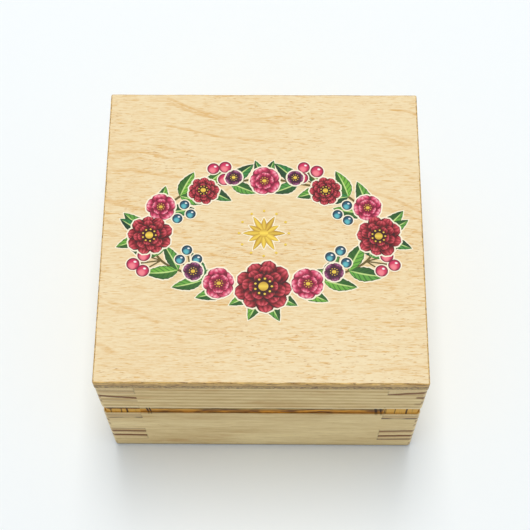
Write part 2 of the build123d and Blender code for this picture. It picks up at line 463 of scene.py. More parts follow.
def scorched_and_shaded(board, wood, fibre):
    """The wood with its groove of scorch and painted shade, on the skin of the box only, and the groove's own mask.
    """
    z = board.z
    ragged = (board.noise(0.35, 0.35, 0.9, detail=3.0) - 0.5) * 0.9
    in_low = (z + ragged * 0.12 - GROOVE_LOW).rise(-0.1, -0.02)
    groove = in_low * (1 - (z - GROOVE_HIGH).rise(-0.05, 0.15)) * board.skin
    half = (z + ragged * 0.5 - PARTING).rise(-0.5, 0.0)
    blotch = board.noise(0.11, 0.5, 0.5, detail=3.0, roughness=0.65)
    groove_mottle = ((fibre - 0.5) * 1.8 + ragged * 1.1 + (blotch - 0.5) * 4.0 + 0.5).clip()
    streak = board.noise(0.02, 1.1, 0.03).rise(0.56, 0.66)
    gold_end = streak.colour(GOLD, BURNT_STREAK)
    # Painted shadow under the lid's lip, in the upper half of the groove at the left end.
    lip_shadow = z.near(PARTING + 0.9, 1.5) * board.at_left * (0.45 + blotch * 0.9)
    gold_end = lip_shadow.clip().colour(gold_end, LIP_SHADOW_BROWN)
    scorch_and_shade = board.end.colour(half.colour(groove_mottle.colour(*BASE_SCORCH_AND_SHADE), groove_mottle.colour(*LID_SCORCH_AND_SHADE)), gold_end)
    # The up-facing ledge at the groove's foot is painted lighter, as lit from above, than the shaded groove.
    ledge = (1 - (z - GROOVE_LOW).rise(0.02, 0.1)) * board.furthest.rise(HALF_WIDTH - 0.45, HALF_WIDTH - 0.1)
    scorch_and_shade = (ledge * 0.85).colour(scorch_and_shade, LIT_LEDGE_TAN)
    wood = (groove * 0.96).colour(wood, scorch_and_shade)
    if board.side in ("front", "left"):
        nicks = 0.0 * z
        for middle, reach in NICKS:
            nicks = nicks.most((board.along + (z - PARTING) * 0.1).near(middle, reach))
        wood = (nicks * (z.near(PARTING, 3.4) * board.skin)).colour(wood, NICK_BROWN)
    return wood, groove


print("groove from", GROOVE_LOW, "to", GROOVE_HIGH, "mm")

# %% [markdown]
# Last come the traces of the sander and some painted light: the corners are sanded paler, the lid's lower edge
# carries a painted highlight, and the foot is darker with painted contact shade. The boards of one side share a
# material, so a ring or a glue line runs on from the base into the lid.

# %% Pine, put together
PHASES = {"front": 0.0, "back": 1.1, "left": 0.6, "right": 1.9}
SANDED_AND_HIGHLIGHT_PALE, FOOT_SHADE = rgb(255, 236, 192), rgb(104, 82, 50)


# Sanded paler corners, a painted highlight on the lid's lower edge and painted shade at the foot.
def worn(board, wood):
    near_edge = HALF_WIDTH - 0.9, HALF_WIDTH - 0.2
    corner = board.out_along.rise(*near_edge) * board.out_across.rise(*near_edge)
    # The lid's lower edge just above the groove gets a painted highlight; the corners are sanded paler.
    arris = (board.z.near(GROOVE_HIGH + 0.45, 0.5) * board.skin).most(corner * 0.6)
    wood = (arris * 0.6).colour(wood, SANDED_AND_HIGHLIGHT_PALE)
    # Painted contact shade: darker towards the foot.
    return ((1 - board.z.rise(0.3, 1.9)) * 0.75).colour(wood, FOOT_SHADE)


def pine_paint(wire, side):
    board = Board(wire, side)
    long_wood, fibre, hair, tone, late = long_grain(board, PHASES[side])
    end_wood, end_line, wobble = end_grain(board, tone)
    glue = glue_lines(board)
    wood = (glue * 0.9).colour(board.end.colour(long_wood, end_wood), GLUE_BROWN)
    if side == "front":
        wood = cracked(board, wood, wobble)
    wood, groove = scorched_and_shaded(board, wood, fibre)
    relief = fibre * 0.5 + hair * 0.3 + late * 0.25 - glue * 0.8 - groove * 0.4 - end_line * board.end * 0.2
    return {
        "Base Color": worn(board, wood),
        "Roughness": 0.58 + (fibre - 0.5) * 0.2 + groove * 0.12,
        "Specular IOR Level": 0.28,
        "Normal": bump(wire, relief, 0.5, 0.12),
    }


def repaint(node, material):
    """Gives a solid one material in place of what it came with."""
    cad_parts[node].data.materials.clear()
    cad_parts[node].data.materials.append(material)


for side in PHASES:
    pine = finish(f"pine {side}", pine_paint, side)
    repaint(f"base_{side}_wall", pine)
    repaint(f"lid_{side}_rail", pine)

# %% [markdown]
# ## Birch plywood
# The lid's top and the bottom are thin plywood. The face is pale birch, peeled from the log: long soft streaks that
# wander, fine short strokes along the grain in patches, and a few dark pores. The edge shows the layers, a tan one
# above and a rough grey-brown one below.

# %% The face of the plywood
BIRCH_PALE, BIRCH_TAN, PORE_BROWN = rgb(234, 212, 168), rgb(214, 168, 98), rgb(168, 108, 44)


def birch_face(place):
    """The colour, the relief and the strokes. The streaks are level lines of a height that bends with a slow noise,
    so they never cross."""
    x, y, z = place.parts()
    fibre = place.noise((0.8, 4.5, 1.0), detail=3.0, roughness=0.7)
    strokes = place.noise((0.28, 2.3, 1.0), detail=3.0, roughness=0.6)
    dashes = place.noise((0.4, 3.0, 1.0), detail=1.0).rise(0.56, 0.7)
    patches = place.noise((0.04, 0.08, 1.0))
    broad = place.noise((0.02, 0.03, 1.0), detail=1.0)
    bend = place.noise((0.016, 0.026, 1.0))
    height = y + x * (y + 45.0).rise(0.0, 60.0) * 0.24 + bend * 26.0 + (strokes - 0.5) * 1.6
    streak = ((height / 8.5).fraction() - 0.5).near(0.0, 0.08) + ((height / 19.0).fraction() - 0.4).near(0.0, 0.035)
    streak = streak * place.noise((0.05, 0.05, 1.0), detail=1.0).rise(0.36, 0.62)
    grain = (fibre - 0.5) * 0.9 + (strokes - 0.5) * 1.25 + dashes * (patches * 1.2 - 0.1) + (broad - 0.5) * 0.5
    grain = grain + streak * (y.rise(-25.0, 25.0) * 0.24 + 0.24) + 0.15
    pores = place.noise((0.7, 5.2, 1.0), detail=1.0).rise(0.67, 0.77) * (patches.rise(0.44, 0.58) * 0.7 + 0.15)
    colour = pores.colour(grain.clip().colour(BIRCH_PALE, BIRCH_TAN), PORE_BROWN)
    return colour, fibre * 0.5 - pores * 0.6, strokes


# %% [markdown]
# A layer whose grain runs out of the edge is speckled, and one whose grain runs along it is streaked. Each layer is
# turned a quarter against its neighbour, so the two looks swap at each corner of the panel.

# %% The edge of the plywood
TAN_LAYER = rgb(232, 192, 118), rgb(142, 98, 46)
GREY_LAYER = rgb(206, 172, 110), rgb(92, 62, 28)
PLY_GLUE, PLY_EDGE_HIGHLIGHT = rgb(96, 66, 34), rgb(240, 218, 172)


def birch_edge(place, low):
    """A tan layer over a rough grey-brown one, dark glue between them, and a painted highlight along the bottom."""
    x, y, z = place.parts()
    layer = (z - low) / PANEL_THICKNESS
    flank = (abs(x) - abs(y)).rise(-0.05, 0.05)
    speckle = place.noise((1.3, 1.3, 3.2), detail=3.0, roughness=0.7)
    along_x = place.noise((0.3, 1.0, 4.5), detail=3.0, roughness=0.7)
    along_y = place.noise((1.0, 0.3, 4.5), detail=3.0, roughness=0.7)
    streaks = flank.values(along_x, along_y)
    spots = place.noise((0.45, 0.45, 1.3)).rise(0.55, 0.7)
    split = (layer + (speckle - 0.5) * 0.12).rise(0.47, 0.57)
    tan_rough, grey_rough = flank.values(streaks, speckle), flank.values(speckle, streaks)
    tan = ((tan_rough - 0.5) * 3.6 + spots * 0.5 + 0.35).clip().colour(*TAN_LAYER)
    grey = ((grey_rough - 0.5) * 4.0 + spots * 0.5 + 0.35).clip().colour(*GREY_LAYER)
    edge = (split * (1 - spots * 0.45)).colour(grey, tan)
    edge = (layer.near(0.5, 0.06) * 0.45).colour(edge, PLY_GLUE)
    # Painted highlight: a thin pale line along the bottom of the edge.
    edge = (layer.near(0.0, 0.07) * 0.7).colour(edge, PLY_EDGE_HIGHLIGHT)
    return edge, split.values(grey_rough, tan_rough)


def birch_paint(wire, low):
    place = place_in_mm(wire)
    facing = abs(wire.add("ShaderNodeTexCoord", out="Normal").parts()[2])
    face = facing.rise(0.92, 0.995)
    face_colour, face_relief, strokes = birch_face(place)
    edge_colour, edge_relief = birch_edge(place, low)
    return {
        "Base Color": face.colour(edge_colour, face_colour),
        "Roughness": 0.52 + (strokes - 0.5) * 0.2,
        "Specular IOR Level": 0.35,
        "Normal": bump(wire, face_relief + edge_relief * (1 - face), 0.35, 0.08),
    }


lid_birch = finish("birch plywood lid", birch_paint, PANEL_LOW)
repaint("bottom_panel", finish("birch plywood bottom", birch_paint, BOTTOM_LOW))

# %% [markdown]
# ## The top panel's edge
# A saw and a sander leave marks that a perfect solid lacks: the top edge is rounded unevenly, and splinters have
# come off along the front. So the panel is drawn again, as a profile that is carried round the outline. It is the
# size of the solid that it stands for, and only the wear is new.

# %% Carry a profile round the box
def directions(angle):
    """Arrows of length one: a cosine and a sine for each angle."""
    return np.column_stack([np.cos(angle), np.sin(angle)])


def square_round(half, radius, side_steps, corner_steps):
    """Points and outward directions round a square with rounded corners. A corner is a quarter of a circle about a
    point that lies radius inside both sides. With the side after it, it is turned to all four places."""
    direction = directions(np.linspace(0, math.pi / 2, corner_steps))
    along = np.linspace(half - radius, radius - half, side_steps + 2)[1:-1]
    points = np.concatenate([half - radius + radius * direction, np.column_stack([along, np.full(side_steps, half)])])
    outward = np.concatenate([direction, np.tile([0.0, 1.0], (side_steps, 1))])
    turns = [np.linalg.matrix_power([[0, 1], [-1, 0]], times) for times in range(4)]
    return np.concatenate([points @ turn for turn in turns]), np.concatenate([outward @ turn for turn in turns])


def skin_of(rings):
    """The points and faces of a closed skin over rings of points: the first and last ring are one point each."""
    count = rings.shape[1]
    inner = rings[1:-1]
    points = np.concatenate([rings[0][:1], inner.reshape(-1, 3), rings[-1][:1]])
    step = np.arange(count)
    after = (step + 1) % count
    row = 1 + np.arange(len(inner) - 1)[:, None] * count
    quads = np.stack([row + step, row + after, row + count + after, row + count + step], axis=-1).reshape(-1, 4)
    end_row = 1 + (len(inner) - 1) * count
    first = np.column_stack([np.zeros(count, int), 1 + after, 1 + step])
    last = np.column_stack([np.full(count, len(points) - 1), end_row + step, end_row + after])
    return points, quads.tolist() + first.tolist() + last.tolist()


print("profiles ready")

# %% [markdown]
# The wear is a small number for each point of the outline: two slow waves all round, and for the front edge the
# largest of ten chips, each a bell curve about its own place.

# %% Wear along the edge
PANEL_CORNER = 0.5
CHIPS = 10
CHIP_PLACES, CHIP_SIZES, CHIP_DEPTHS = (-41, -22, 41), (0.15, 0.8), (0.03, 0.13)

rng = np.random.default_rng(7)
outline, outward = square_round(HALF_WIDTH, PANEL_CORNER, side_steps=300, corner_steps=10)
wear = 0.03 * np.sin(outline @ [0.31, 0.53] + 1.0) + 0.008 * np.sin(outline @ [1.9, 1.3]) + 0.04
left, between, right = CHIP_PLACES
chip_x = np.concatenate([rng.uniform(left, between, CHIPS // 2), rng.uniform(between, right, CHIPS // 2)])
chip_size = rng.uniform(*CHIP_SIZES, CHIPS)
chip_depth = rng.uniform(*CHIP_DEPTHS, CHIPS)
at_front = outline[:, 1] < 1 - HALF_WIDTH
chips = (chip_depth * np.exp(-(((outline[:, :1] - chip_x) / chip_size) ** 2))).max(axis=1) * at_front
print("deepest wear", round(float((wear + chips).max()), 3), "mm")

# %% The worn top panel
TOP_ROUND = 0.4
UNDERSIDE_SHARES, TOP_SHARES = (0.0, 0.5, 0.97), (0.965, 0.9, 0.7, 0.45, 0.2, 0.0)
# How far in and how far up the side's profile goes. The dip half way up is the glue line between two layers.
SIDE_PROFILE = ((0.12, 0.0), (0.0, 0.12), (0.0, 0.7), (0.0, 1.94), (0.04, 2.0), (0.0, 2.06), (0.0, 2.8))


def level_ring(points, height):
    return np.column_stack([points, np.broadcast_to(height, len(points))])


rings = [level_ring(outline * share, PANEL_LOW) for share in UNDERSIDE_SHARES]
rings += [level_ring(outline - outward * inset, PANEL_LOW + up) for inset, up in SIDE_PROFILE]
for angle in np.linspace(0.0, math.pi / 2, 7):
    worn_off = (wear + chips) * math.sin(2 * angle) ** 0.7
    inset = TOP_ROUND * (1 - math.cos(angle)) + worn_off
    drop = TOP_ROUND * (1 - math.sin(angle)) + worn_off
    rings.append(level_ring(outline - outward * inset[:, None], LID_TOP - drop))
rings += [level_ring(outline * share, LID_TOP) for share in TOP_SHARES]
top_panel = new_piece("lid_top_worn", [skin_of(np.array(rings))])
top_panel.data.materials.append(lid_birch)
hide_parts("lid_top_panel")
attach(top_panel, "lid")
print("top panel", len(top_panel.data.polygons), "faces")

# %% [markdown]
# ## Brass
# Brass is a metal, so its colour sits in its reflections. A cloudy tarnish darkens and dulls the plated sheet of the
# hinges. The pins are drawn wire and stay brighter, and the nails' heads are polished.

# %% Brass
def brass_paint(wire, bright, dull, gloss):
    place = place_in_mm(wire)
    tarnish = place.noise((0.35, 0.35, 0.35), detail=4.0, roughness=0.62)
    drawn = place.noise((0.4, 6.0, 6.0))
    haze = place.noise((0.12, 0.12, 0.12))
    worn = (tarnish.rise(0.3, 0.85) * 0.55 + (haze - 0.4) * 0.5 + (drawn - 0.5) * 0.35).clip()
    return {
        "Base Color": worn.colour(bright, dull),
        "Metallic": 1.0,
        "Roughness": gloss + worn * 0.25 + (drawn - 0.5) * 0.08,
        "Normal": bump(wire, tarnish * 0.5 + drawn * 0.3, 0.25, 0.03),
    }


BRASS = {
    "leaf": finish("hinge brass", brass_paint, rgb(226, 192, 122), rgb(150, 112, 58), 0.27),
    "pin": finish("pin brass", brass_paint, rgb(222, 196, 138), rgb(160, 128, 76), 0.22),
    "nails": finish("nail brass", brass_paint, rgb(236, 206, 140), rgb(176, 138, 78), 0.18),
}
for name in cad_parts:
    if name.endswith(("_leaf", "_pin", "_nails")):
        repaint(name, BRASS[name.rsplit("_", 1)[1]])

# %% [markdown]
# ## Nails with round heads
# A hinge nail is a profile turned about the nail's own line. Over its domed head the height rises as a sine while
# the radius falls as a cosine. The two nails of a leaf are one mesh.

# %% Turned nails
HEAD_RADIUS, HEAD_EDGE, HEAD_HEIGHT = 1.2, 0.12, 0.5
SHANK_RADIUS, SHANK_LENGTH, POINT_LENGTH = 0.6, 8.0, 1.0


def turned_nails(name, seats):
    """Nails driven towards -Y from their seats: a radius for each depth, carried round each nail's line."""
    lift = np.linspace(0, math.pi / 2, 7)
    dome = HEAD_EDGE + (HEAD_HEIGHT - HEAD_EDGE) * np.sin(lift)
    radius = np.concatenate([[0, SHANK_RADIUS, SHANK_RADIUS, HEAD_RADIUS], HEAD_RADIUS * np.cos(lift)])[:, None]
    stand = np.concatenate([[-SHANK_LENGTH, POINT_LENGTH - SHANK_LENGTH, 0, 0], dome])[:, None]
    angle = np.linspace(0, 2 * math.pi, 28, endpoint=False)
    nail = np.stack(np.broadcast_arrays(-radius * np.cos(angle), stand, radius * np.sin(angle)), axis=-1)
    return new_piece(name, [skin_of(nail + seat) for seat in seats])


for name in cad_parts:
    if name.endswith("_nails"):
        low, high = (np.array(corner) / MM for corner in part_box(name))
        seat, level = low[1] + SHANK_LENGTH, (low[2] + high[2]) / 2
        columns = low[0] + HEAD_RADIUS, high[0] - HEAD_RADIUS
        nails = turned_nails(f"{name}_round", [(column, seat, level) for column in columns])
        nails.data.materials.append(BRASS["nails"])
        nails.data.shade_smooth()
        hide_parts(name)
        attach(nails, "lid" if "_lid_" in name else "base")
        print(nails.name, len(nails.data.polygons), "faces")

# %% [markdown]
# ## The painted wreath
# The lid carries a printed garden wreath: two leafy stems that rise from the bottom and meet at the top, blossoms of
# one to three rings of petals, and berries. It could be an image on the lid, but drawn as shapes it stays sharp from
# near by. Each petal and leaf is a closed film. The whole print stands about a quarter of a millimetre above the
# wood, and each film lies a hair above the last.
#
# Every motif is a grid of points that is bent into shape. Its two directions also become its UV map, from 0 to 1,
# and the paint follows them: from the base of a petal to its tip, and from one edge to the other.

# %% Printed film
PLATE_STEP = 0.0007
SUNK = 0.01


def grid_faces(n, m):
    """The faces of one plate: an n by m grid above, the same grid below, and a wall along their rims."""
    cell = np.arange(n * m).reshape(n, m)
    face = np.stack([cell[:-1, :-1], cell[1:, :-1], cell[1:, 1:], cell[:-1, 1:]], axis=-1).reshape(-1, 4)
    rim = np.concatenate([cell[:-1, 0], cell[-1, :-1], cell[:0:-1, -1], cell[0, :0:-1]])
    after = np.roll(rim, -1)
    wall = np.stack([rim + n * m, after + n * m, after, rim], axis=-1)
    return np.concatenate([face, face[:, ::-1] + n * m, wall])


def film(name, grids, level, material, tints=0.0, step=PLATE_STEP):
    """Flat plates in one mesh. grids has one n by m grid of points for each plate, and a plate's top lies at level,
    each one step above the one before it."""
    grids = np.array(grids)
    count, n, m, _ = grids.shape
    tops = np.broadcast_to((LID_TOP + level + step * np.arange(count))[:, None, None], (count, n, m))
    lows = np.full((count, n, m), LID_TOP - SUNK)
    points = np.stack([np.concatenate([grids, height[..., None]], axis=-1) for height in (tops, lows)], axis=1)
    faces = (grid_faces(n, m) + np.arange(count)[:, None, None] * 2 * n * m).reshape(-1, 4)
    piece = new_piece(name, [(points.reshape(-1, 3), faces.tolist())])
    corner = np.empty(len(piece.data.loops), int)
    piece.data.loops.foreach_get("vertex_index", corner)
    u, v = np.meshgrid(np.linspace(0, 1, n), np.linspace(0, 1, m), indexing="ij")
    uv = np.tile(np.column_stack([u.ravel(), v.ravel()]), (2 * count, 1))
    piece.data.uv_layers.new(name="print").data.foreach_set("uv", uv[corner].ravel())
    tone = piece.data.attributes.new("tint", "FLOAT", "POINT")
    tone.data.foreach_set("value", np.repeat(np.broadcast_to(tints, count).astype(float), 2 * n * m))
    piece.data.materials.append(material)
    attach(piece, "lid")
    print(name, count, "plates,", len(faces), "faces")


# %% [markdown]
# A leaf or a petal is a line from its base to its tip, with a half-width for each place along it. A berry is a
# square grid pushed into a disc, and a stem is a ribbon along its path.

# %% Shapes of the motifs
LEAF_GRID, PETAL_GRID, DISC_GRID = (21, 7), (13, 9), 9
LEAST_HALF, TEETH = 0.03, 6


def lengthwise(n, m):
    """Places along a motif from 0 to 1, and across it from -1 to 1."""
    return np.linspace(0, 1, n)[None, :, None], np.linspace(-1, 1, m)[None, None, :]


def leaves(at, heading, length, width, bend):
    """Leaf grids. Half the width is a sine of the place along the leaf with a few teeth, and the middle line bends
    sideways with the square of that place."""
    s, t = lengthwise(*LEAF_GRID)
    length, width, bend = length[:, None, None], width[:, None, None], bend[:, None, None]
    teeth = 1 - 0.12 * ((s * TEETH) % 1) * (np.abs(t) ** 3)
    half = (width / 2) * np.sin(math.pi * s**0.82) ** 0.85 * teeth + LEAST_HALF
    return placed(length * s + 0 * t, half * t + bend * length * s**2, at, heading)


def petals(at, heading, length, width, notch_depth):
    """Petal grids. The outline is an egg that is widest past its middle, with a shallow notch at the tip."""
    s, t = lengthwise(*PETAL_GRID)
    length, width = length[:, None, None], width[:, None, None]
    half = (width / 2) * np.sqrt(1 - (2 * s**1.35 - 1) ** 2) ** 0.9 + LEAST_HALF
    notch = 1 - notch_depth * np.exp(-((t / 0.35) ** 2)) * s**5
    return placed(length * s * notch, half * t, at, heading)


def discs(at, radius, steps=DISC_GRID):
    """Round grids: x is u times the root of 1 - v*v/2, and y the same the other way round."""
    u, v = np.meshgrid(np.linspace(-1, 1, steps), np.linspace(-1, 1, steps), indexing="ij")
    round_grid = np.stack([u * np.sqrt(1 - v**2 / 2), v * np.sqrt(1 - u**2 / 2)], axis=-1)
    return at[:, None, None] + radius[:, None, None, None] * round_grid


def ribbon(path, width):
    """A band along a path: each point of the path is moved sideways by half the width, to both sides."""
    along = np.gradient(path, axis=0)
    side = np.column_stack([-along[:, 1], along[:, 0]]) / np.linalg.norm(along, axis=1)[:, None]
    return path[:, None] + side[:, None] * (np.array([-0.5, 0, 0.5]) * width)[None, :, None]


def placed(ahead, aside, at, heading):
    """Turns a motif to its heading and moves it to its place."""
    c, s = np.cos(heading)[:, None, None], np.sin(heading)[:, None, None]
    x = at[:, 0, None, None] + ahead * c - aside * s
    y = at[:, 1, None, None] + ahead * s + aside * c
    return np.stack([x, y], axis=-1)


print("motifs ready")

# %% [markdown]
# The wreath is an oval. The right half is worked out along its stem and the left half is its mirror image, with
# small random differences.

# %% The wreath's stem
OVAL = np.array([30.5, 16.0])
MIDDLE = np.array([0.4, -0.5])
STEM_FROM, STEM_TO = -86, 82
SWAY, SWAYS = 0.35, 9

turn = np.linspace(math.radians(STEM_FROM), math.radians(STEM_TO), 121)
arc = (OVAL + SWAY * np.sin(turn * SWAYS)[:, None]) * directions(turn)
gone = np.concatenate([[0], np.cumsum(np.linalg.norm(np.diff(arc, axis=0), axis=1))])


def on_stem(share):
    """Places and headings at shares of the stem's length, read between the points of the arc."""
    where = share * gone[-1]
    at = np.column_stack([np.interp(where, gone, arc[:, i]) for i in (0, 1)])
    nearby = np.column_stack([np.interp(where + 0.5, gone, arc[:, i]) for i in (0, 1)])
    return at, np.arctan2(*(nearby - at).T[::-1])


def mirrored(at, heading):
    """The same on the left as well: x changes sign, and a heading is reflected."""
    return np.concatenate([at, at * [-1, 1]]), np.concatenate([heading, math.pi - heading])


print("stem", round(float(gone[-1]), 1), "mm long on each side")

# %% Leaves, in pairs along the stem and behind the blossoms
PAIRS = 9
LEAF_ANGLE, LEAF_BEND, SLIMNESS = 0.72, 0.14, (0.40, 0.48)
# Leaves that peep out behind the blossoms: place, heading, length.
BEHIND = [(0, -15.5, 3.75, 10.2), (0, -15.5, 5.67, 10.2), (0, -15.5, 4.4, 10.0), (0, -15.5, 5.05, 10.4)]
BEHIND += [(30.5, -0.5, 0.45, 9.0), (30.5, -0.5, -0.5, 9.2), (-30.5, -0.5, 2.69, 9.0), (-30.5, -0.5, 3.64, 9.2)]
BEHIND += [(0, 15.8, 1.1, 6.6), (0, 15.8, 2.05, 6.6)]

rng = np.random.default_rng(21)
share = np.linspace(0.10, 0.93, PAIRS)
at, heading = on_stem(share)
size = 9.4 - 3.2 * np.abs(share - 0.45)
sides = np.repeat([1, -1], PAIRS)
leaf_at, leaf_heading = mirrored(np.tile(at, (2, 1)), np.tile(heading, 2) - sides * LEAF_ANGLE)
leaf_length = np.tile(size, 4) * rng.uniform(0.88, 1.1, 4 * PAIRS)
leaf_bend = np.concatenate([sides, -sides]) * LEAF_BEND * rng.uniform(0.5, 1.4, 4 * PAIRS)
leaf_heading += rng.normal(0, 0.07, 4 * PAIRS)
leaf_width = leaf_length * rng.uniform(*SLIMNESS, 4 * PAIRS)

behind = np.array(BEHIND)
leaf_at = np.concatenate([leaf_at, behind[:, :2]]) + MIDDLE
leaf_heading = np.concatenate([leaf_heading, behind[:, 2]])
leaf_length = np.concatenate([leaf_length, behind[:, 3]])
leaf_width = np.concatenate([leaf_width, behind[:, 3] * 0.42])
leaf_bend = np.concatenate([leaf_bend, 0.08 * np.sign(np.cos(behind[:, 2]))])
leaf_tint = rng.uniform(0, 1, len(leaf_at))
print(len(leaf_at), "leaves")

# %% Blossoms and berries
# Each kind of blossom: its places with their radii, and its rings of petals as (how many, share of the radius).
BLOSSOMS = {
    "crimson": (
        [(0, -15.4, 7.6), (30.3, -0.8, 6.0), (-30.3, -0.8, 6.0), (16.4, 12.7, 4.2), (-16.4, 12.7, 4.2)],
        [(9, 1.0), (8, 0.76), (6, 0.5)],
    ),
    "pink": (
        [(11.6, -14.6, 4.3), (-11.6, -14.6, 4.3), (27.6, 7.6, 3.9), (-27.6, 7.6, 3.9), (0, 15.6, 4.2)],
        [(5, 1.0), (5, 0.62)],
    ),
    "plum": ([(18.4, -11.2, 2.6), (-18.4, -11.2, 2.6), (8.3, 16.6, 2.3), (-8.3, 16.6, 2.3)], [(5, 1.0)]),
}
# Twigs: their place along the stem and how far they turn from it. Each ends in three berries.
TWIGS = np.array([(0.25, 0.95), (0.385, -0.95), (0.64, 0.95), (0.84, -0.75)])
REACH, FAN = np.array([[4.8], [5.6], [7.4]]), np.array([[-0.46], [0.42], [0.0]])

twig_at, twig_heading = on_stem(TWIGS[:, 0])
twig_at, twig_heading = mirrored(twig_at, twig_heading + TWIGS[:, 1])
toward = twig_heading + FAN
berry_at = twig_at + np.stack([REACH * np.cos(toward), REACH * np.sin(toward)], axis=-1)
berry_at = berry_at.reshape(-1, 2) + MIDDLE
twig_start = np.tile(twig_at, (len(REACH), 1)) + MIDDLE
print(len(berry_at), "berries and", sum(len(places) for places, _ in BLOSSOMS.values()), "blossoms")

# %% [markdown]
# ## Ink
# The print is satin ink on bare wood. A leaf is painted in two greens, one on each side of a pale midrib, with side
# veins. A petal is streaked and lit towards its tip, and dark in its throat, along its fold and at its sides. A
# berry is a ball in paint: a dark rim, a glow low down and a small window of light. Fine wood grain shows through.

# %% Inks
def print_map(wire):
    """The two directions of a printed motif: along from 0 to 1, and across from -1 to 1, with its own random tint."""
    u, v, _ = wire.add("ShaderNodeUVMap", {"uv_map": "print"}).parts()
    tint = wire.add("ShaderNodeAttribute", {"attribute_name": "tint"}, out="Fac")
    return u, v * 2 - 1, tint


def inked(wire, colour, gloss=0.42):
    """Ink on wood: the lid's grain lightens and darkens it a little."""
    grain = place_in_mm(wire).noise((0.42, 4.2, 1.0))
    shown = ((grain - 0.35) * 1.2).clip()
    faded = (shown * 0.07).colour(colour, rgb(240, 214, 168))
    return {
        "Base Color": faded,
        "Roughness": gloss + (grain - 0.5) * 0.2,
        "Specular IOR Level": 0.12,
        "Normal": bump(wire, grain, 0.2, 0.03),
    }


def leaf_ink(wire):
    along, across, tint = print_map(wire)
    green = tint.colour(rgb(122, 184, 62), rgb(40, 132, 66))
    shade = tint.colour(rgb(26, 84, 26), rgb(2, 48, 32))
    vein = ((along * 6.5 - abs(across) * 1.3).fraction() - 0.5).near(0.0, 0.2) * 0.7
    body = (across.rise(-0.15, 0.25) * 0.75 + along * 0.25).clip().colour(green, shade)
    body = vein.colour(body, shade)
    rib = across.near(0.0, 0.14) * (1 - along.rise(0.8, 1.0))
    body = (rib * 0.85).colour(body, rgb(204, 226, 140))
    rim = abs(across).rise(0.78, 1.0) * 0.75
    return inked(wire, rim.colour(body, rgb(4, 44, 26)))


def petal_ink(wire, throat, body, rim):
    along, across, tint = print_map(wire)
    fleck = place_in_mm(wire).noise((1.4, 1.4, 1.4), detail=3.0, roughness=0.6)
    streak = (across * 11.0 + tint * 20.0 + fleck * 2.0).sine() * 0.5 + 0.5
    colour = (along + (fleck - 0.5) * 0.4 + (streak - 0.5) * 0.12).rise(0.5, 0.88).colour(throat, body)
    light = (along.rise(0.68, 0.94) * (0.25 + streak * 0.65) + (fleck - 0.5) * 0.7 - abs(across) * 0.2).clip()
    colour = light.colour(colour, rim)
    fold = across.near(0.0, 0.16) * (1 - along.rise(0.45, 0.9)) * 0.5
    edge = abs(across).rise(0.74, 0.95) * 0.9
    tip = along.rise(0.94, 0.99) * 0.7
    return inked(wire, (fold + edge + tip).clip().colour(colour, throat))


def ball_ink(wire, dark, body, glow):
    along, across, _ = print_map(wire)
    x, y = along * 2 - 1, across
    radius = x * x + y * y - x * x * y * y
    off_glow = (x + 0.15) * (x + 0.15) + (y + 0.35) * (y + 0.35)
    off_light = (x - 0.3) * (x - 0.3) * 2.2 + (y - 0.38) * (y - 0.38) * 4.5
    colour = radius.rise(0.3, 0.95).colour(body, dark)
    colour = ((1 - off_glow.rise(0.0, 0.55)) * 0.7).colour(colour, glow)
    colour = ((1 - off_light.rise(0.03, 0.2)) * 0.9).colour(colour, rgb(250, 250, 246))
    return inked(wire, colour, 0.35)


def plain_ink(wire, light, dark):
    _, across, tint = print_map(wire)
    return inked(wire, (tint * 0.4 + abs(across) * 0.6).clip().colour(light, dark))


INKS = {
    "leaf": finish("leaf green ink", leaf_ink),
    "crimson": finish("crimson ink", petal_ink, rgb(44, 0, 10), rgb(142, 8, 30), rgb(230, 92, 104)),
    "pink": finish("pink ink", petal_ink, rgb(120, 4, 44), rgb(220, 62, 104), rgb(252, 182, 192)),
    "plum": finish("plum ink", petal_ink, rgb(58, 14, 44), rgb(118, 40, 84), rgb(190, 120, 160)),
    "teal berry": finish("teal ink", ball_ink, rgb(0, 26, 42), rgb(4, 76, 102), rgb(104, 204, 208)),
    "pink berry": finish("rose ink", ball_ink, rgb(104, 2, 44), rgb(206, 36, 86), rgb(252, 146, 152)),
    "gold": finish("gold ink", plain_ink, rgb(250, 216, 84), rgb(158, 104, 16)),
    "stem": finish("stem brown ink", plain_ink, rgb(118, 100, 42), rgb(60, 52, 22)),
    "cream": finish("cream ink", plain_ink, rgb(250, 240, 216), rgb(244, 230, 198)),
}

# %% [markdown]
# The order of printing is the order of height. Each kind has a cream outline just below its colour: the leaves come
# first, with the stems between their outlines and their green, then the berries, then the petals from the outer ring
# to the inner one, and the gold last.

# %% Print the stems, leaves and berries
EDGE, BERRY_EDGE = 0.38, 0.3
STEM_WIDTH, TWIG_WIDTH = 0.6, 0.36
TEAL_RADIUS, ROSE_RADIUS = 1.4, 1.7
# How high the films stand above the wood.
LEVEL = {"leaf edges": 0.01, "stems": 0.045, "twigs": 0.047, "leaves": 0.055, "berry edges": 0.092, "berries": 0.112}
LEVEL |= {"petal edges": 0.125, "petals": 0.16, "hearts": 0.265, "stamens": 0.28}
LEVEL |= {"ray edges": 0.02, "rays": 0.05, "dots": 0.09}

